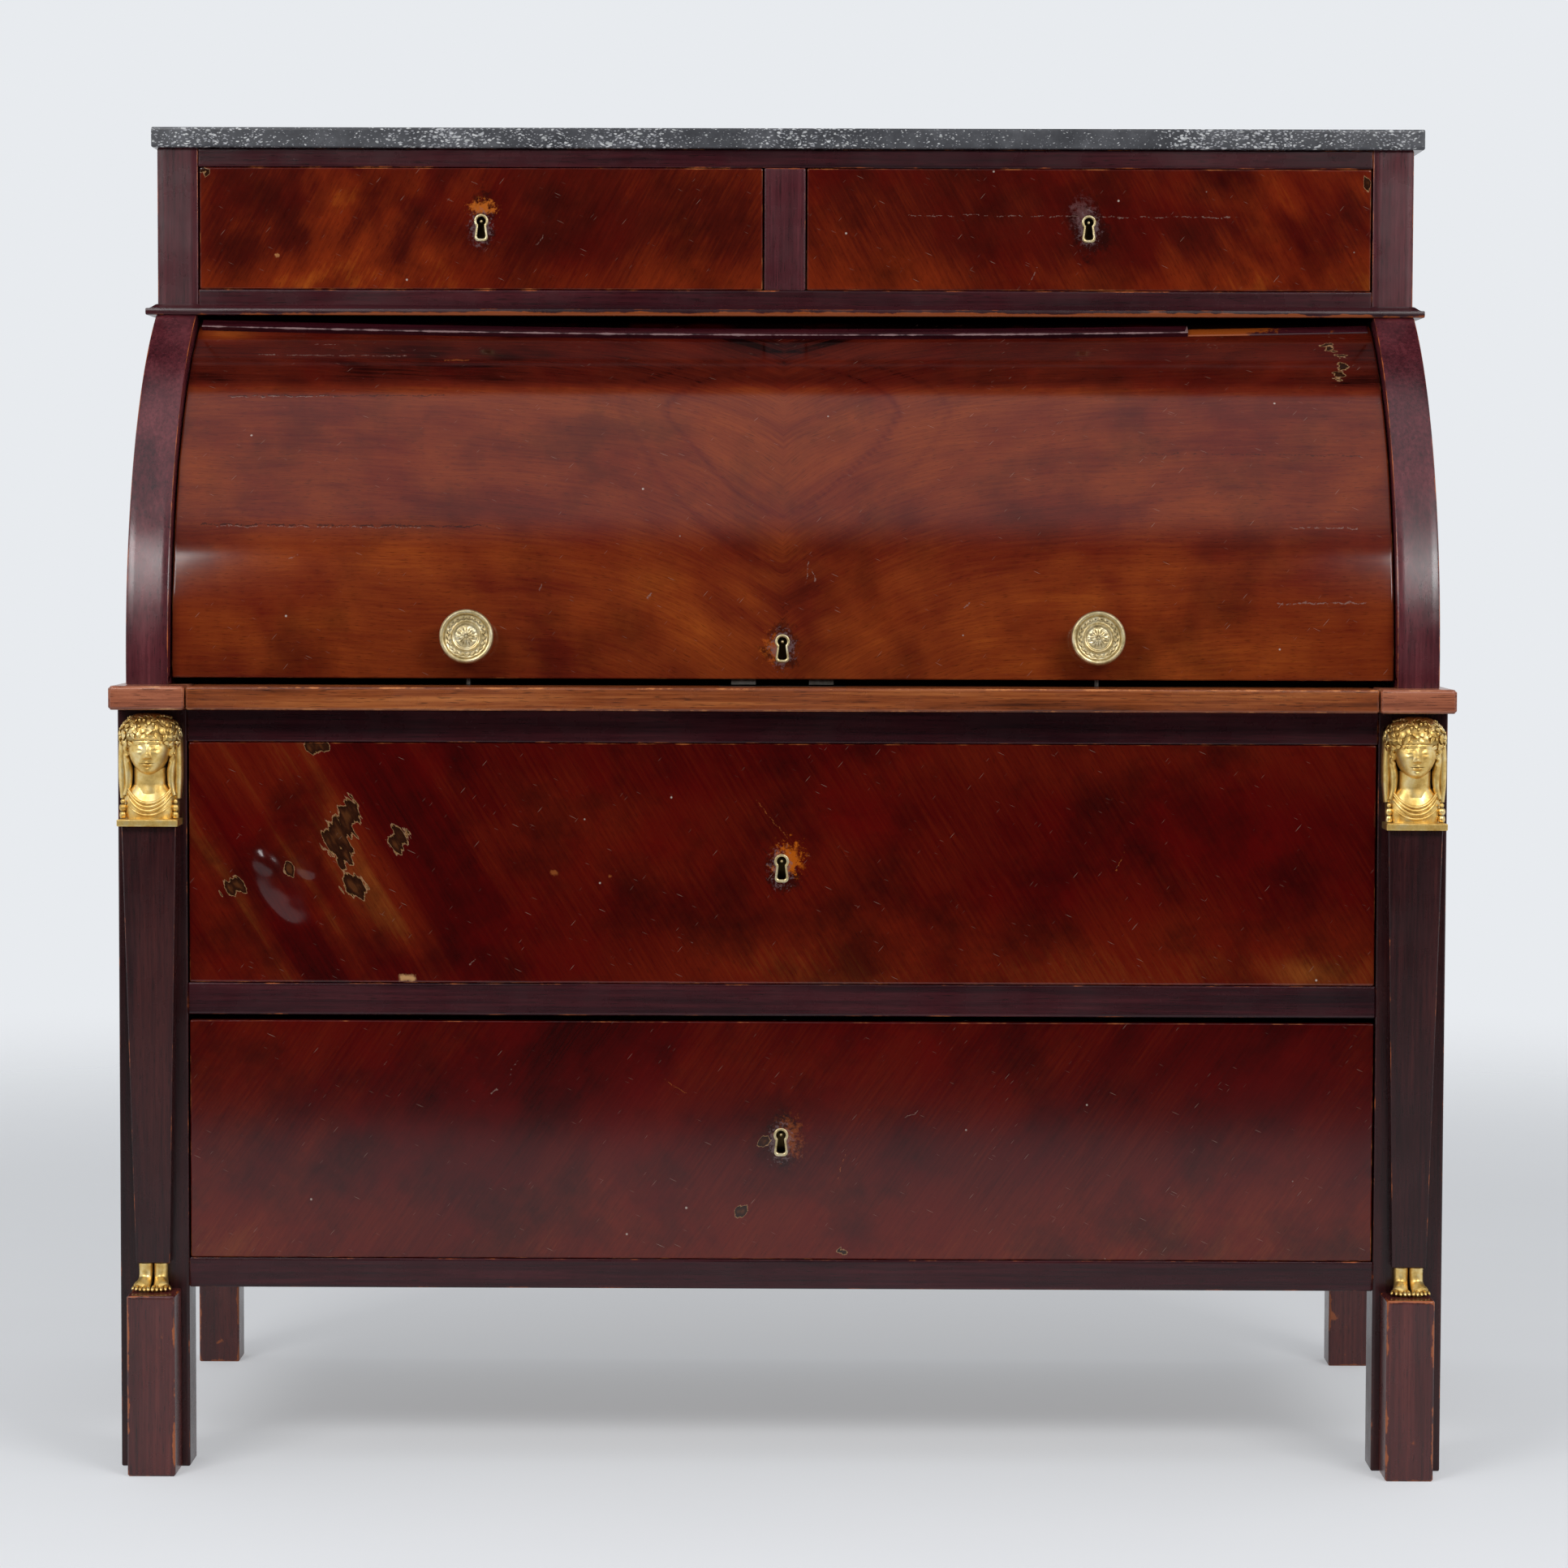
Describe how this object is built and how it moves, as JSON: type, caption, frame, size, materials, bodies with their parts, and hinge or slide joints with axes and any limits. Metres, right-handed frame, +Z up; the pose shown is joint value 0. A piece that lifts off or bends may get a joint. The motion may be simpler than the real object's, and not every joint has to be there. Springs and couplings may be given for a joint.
{
  "type": "roll top secretary desk",
  "caption": "Mahogany cylinder bureau with a quarter-round fall over a writing slide, drawers below and above, inner pigeonholes, gilt bust pilasters and a marble top.",
  "frame": {"origin": "on the floor, under the middle of the piece's outline", "axes": "+X to the right as seen from the front, +Y to the back, +Z up"},
  "size_m": [1.3, 0.631, 1.3285],
  "materials": {
    "polished_mahogany": "worn gloss",
    "flame_mahogany_veneer": "gloss",
    "plain_oak": "raw",
    "gilt_bronze": "worn gilding",
    "turned_brass": "tarnished",
    "wrought_iron": "dull",
    "fossil_marble": "polished",
    "tooled_leather": "matt"
  },
  "bodies": {
    "carcass": {"bottom_board": "plain_oak", "bottom_rail": "polished_mahogany", "bronze_busts": "gilt_bronze", "bronze_feet": "gilt_bronze", "cheeks": "polished_mahogany", "drawer_runners": "plain_oak", "dust_board": "plain_oak", "dust_board_bearers": "plain_oak", "fitment_case": "polished_mahogany", "frieze_rail": "polished_mahogany", "front_posts": "polished_mahogany", "lower_back": "plain_oak", "lower_sides": "polished_mahogany", "marble_top": "fossil_marble", "middle_rail": "polished_mahogany", "pilaster_plinths": "polished_mahogany", "pilaster_shafts": "polished_mahogany", "pivot_pins": "wrought_iron", "rear_posts": "polished_mahogany", "side_sills": "polished_mahogany", "slide_bed": "plain_oak", "upper_back": "plain_oak", "upper_bottom_rail": "polished_mahogany", "upper_centre_stile": "polished_mahogany", "upper_floor": "plain_oak", "upper_guides": "plain_oak", "upper_ledge": "plain_oak", "upper_partition": "plain_oak", "upper_top_board": "plain_oak", "upper_top_rail": "polished_mahogany", "waist_moulding": "polished_mahogany"},
    "fall": {"fall_shell": "flame_mahogany_veneer", "fall_batten": "polished_mahogany", "fall_arms": "wrought_iron", "fall_knobs": "turned_brass", "fall_stop_pins": "wrought_iron", "fall_lock": "turned_brass"},
    "fall_hooks": {"fall_hooks": "wrought_iron"},
    "slide": {"slide_panel": "polished_mahogany", "slide_leather": "tooled_leather", "slide_strike": "turned_brass"},
    "lower_drawer": {"lower_drawer_front": "flame_mahogany_veneer", "lower_drawer_box": "plain_oak", "lower_drawer_lock": "turned_brass"},
    "lower_drawer_bolt": {"lower_drawer_bolt": "wrought_iron"},
    "middle_drawer": {"middle_drawer_front": "flame_mahogany_veneer", "middle_drawer_box": "plain_oak", "middle_drawer_lock": "turned_brass"},
    "middle_drawer_bolt": {"middle_drawer_bolt": "wrought_iron"},
    "upper_left_drawer": {"upper_left_drawer_front": "flame_mahogany_veneer", "upper_left_drawer_box": "plain_oak", "upper_left_drawer_lock": "turned_brass"},
    "upper_left_drawer_bolt": {"upper_left_drawer_bolt": "wrought_iron"},
    "upper_right_drawer": {"upper_right_drawer_front": "flame_mahogany_veneer", "upper_right_drawer_box": "plain_oak", "upper_right_drawer_lock": "turned_brass"},
    "upper_right_drawer_bolt": {"upper_right_drawer_bolt": "wrought_iron"},
    "small_drawer_left": {"small_drawer_left": "polished_mahogany"},
    "small_drawer_centre": {"small_drawer_centre": "polished_mahogany"},
    "small_drawer_right": {"small_drawer_right": "polished_mahogany"}
  },
  "joints": [
    {"name": "fall_turn", "type": "hinge", "parent": "carcass", "child": "fall", "pos_m": [0, 0.1335, 0.7865], "axis": [-1, 0, 0], "range_deg": [0, 47]},
    {"name": "hook_drop", "type": "slide", "parent": "fall", "child": "fall_hooks", "axis": [0, 0, -1], "range_m": [0, 0.007]},
    {"name": "slide_pull", "type": "slide", "parent": "carcass", "child": "slide", "axis": [0, -1, 0], "range_m": [0, 0.25]},
    {"name": "lower_drawer_pull", "type": "slide", "parent": "carcass", "child": "lower_drawer", "axis": [0, -1, 0], "range_m": [0, 0.35]},
    {"name": "lower_drawer_bolt_shoot", "type": "slide", "parent": "lower_drawer", "child": "lower_drawer_bolt", "axis": [0, 0, 1], "range_m": [0, 0.014]},
    {"name": "middle_drawer_pull", "type": "slide", "parent": "carcass", "child": "middle_drawer", "axis": [0, -1, 0], "range_m": [0, 0.35]},
    {"name": "middle_drawer_bolt_shoot", "type": "slide", "parent": "middle_drawer", "child": "middle_drawer_bolt", "axis": [0, 0, 1], "range_m": [0, 0.01]},
    {"name": "upper_left_drawer_pull", "type": "slide", "parent": "carcass", "child": "upper_left_drawer", "axis": [0, -1, 0], "range_m": [0, 0.22]},
    {"name": "upper_left_drawer_bolt_shoot", "type": "slide", "parent": "upper_left_drawer", "child": "upper_left_drawer_bolt", "axis": [0, 0, 1], "range_m": [0, 0.01]},
    {"name": "upper_right_drawer_pull", "type": "slide", "parent": "carcass", "child": "upper_right_drawer", "axis": [0, -1, 0], "range_m": [0, 0.22]},
    {"name": "upper_right_drawer_bolt_shoot", "type": "slide", "parent": "upper_right_drawer", "child": "upper_right_drawer_bolt", "axis": [0, 0, 1], "range_m": [0, 0.01]},
    {"name": "small_drawer_left_pull", "type": "slide", "parent": "carcass", "child": "small_drawer_left", "axis": [0, -1, 0], "range_m": [0, 0.14]},
    {"name": "small_drawer_centre_pull", "type": "slide", "parent": "carcass", "child": "small_drawer_centre", "axis": [0, -1, 0], "range_m": [0, 0.14]},
    {"name": "small_drawer_right_pull", "type": "slide", "parent": "carcass", "child": "small_drawer_right", "axis": [0, -1, 0], "range_m": [0, 0.14]}
  ]
}
